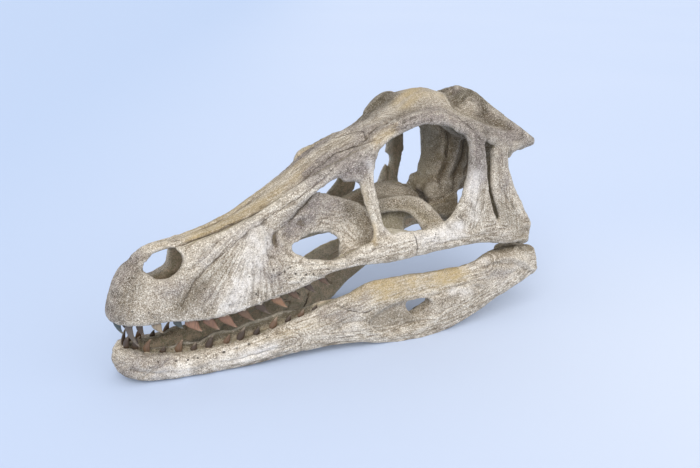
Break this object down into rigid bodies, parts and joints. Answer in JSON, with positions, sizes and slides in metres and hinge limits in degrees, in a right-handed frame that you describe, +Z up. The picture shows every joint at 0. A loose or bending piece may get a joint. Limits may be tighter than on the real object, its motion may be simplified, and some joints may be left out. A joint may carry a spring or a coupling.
{
  "type": "fossil dinosaur skull",
  "caption": "Long, low fossil skull of a small meat-eating dinosaur, with open eye and snout windows, a separate lower jaw and curved, flattened teeth in sockets.",
  "frame": {"origin": "centre of the bounding box, at its bottom: the surface that the lower jaw rests on", "axes": "+X towards the back of the head, so the snout points along -X; +Y towards the animal's right side; +Z up"},
  "size_m": [0.2356, 0.0902, 0.1286],
  "materials": {
    "bone": "matt, speckled fossil bone",
    "tooth": "satin, stained enamel"
  },
  "bodies": {
    "root": {"cranium": "bone", "left_lower_jaw": "bone", "left_upper_tooth_1": "tooth", "left_upper_tooth_2": "tooth", "left_upper_tooth_3": "tooth", "left_upper_tooth_4": "tooth", "left_upper_tooth_5": "tooth", "left_upper_tooth_6": "tooth", "left_upper_tooth_7": "tooth", "left_upper_tooth_8": "tooth", "left_upper_tooth_9": "tooth", "left_upper_tooth_10": "tooth", "left_upper_tooth_11": "tooth", "left_upper_tooth_12": "tooth", "left_upper_tooth_13": "tooth", "left_upper_tooth_14": "tooth", "left_lower_tooth_1": "tooth", "left_lower_tooth_2": "tooth", "left_lower_tooth_3": "tooth", "left_lower_tooth_4": "tooth", "left_lower_tooth_5": "tooth", "left_lower_tooth_6": "tooth", "left_lower_tooth_7": "tooth", "left_lower_tooth_8": "tooth", "left_lower_tooth_9": "tooth", "left_lower_tooth_10": "tooth", "left_lower_tooth_11": "tooth", "left_lower_tooth_12": "tooth", "left_lower_tooth_13": "tooth", "left_lower_tooth_14": "tooth", "right_lower_jaw": "bone", "right_upper_tooth_1": "tooth", "right_upper_tooth_2": "tooth", "right_upper_tooth_3": "tooth", "right_upper_tooth_4": "tooth", "right_upper_tooth_5": "tooth", "right_upper_tooth_6": "tooth", "right_upper_tooth_7": "tooth", "right_upper_tooth_8": "tooth", "right_upper_tooth_9": "tooth", "right_upper_tooth_10": "tooth", "right_upper_tooth_11": "tooth", "right_upper_tooth_12": "tooth", "right_upper_tooth_13": "tooth", "right_upper_tooth_14": "tooth", "right_lower_tooth_1": "tooth", "right_lower_tooth_2": "tooth", "right_lower_tooth_3": "tooth", "right_lower_tooth_4": "tooth", "right_lower_tooth_5": "tooth", "right_lower_tooth_6": "tooth", "right_lower_tooth_7": "tooth", "right_lower_tooth_8": "tooth", "right_lower_tooth_9": "tooth", "right_lower_tooth_10": "tooth", "right_lower_tooth_11": "tooth", "right_lower_tooth_12": "tooth", "right_lower_tooth_13": "tooth", "right_lower_tooth_14": "tooth"}
  },
  "joints": []
}
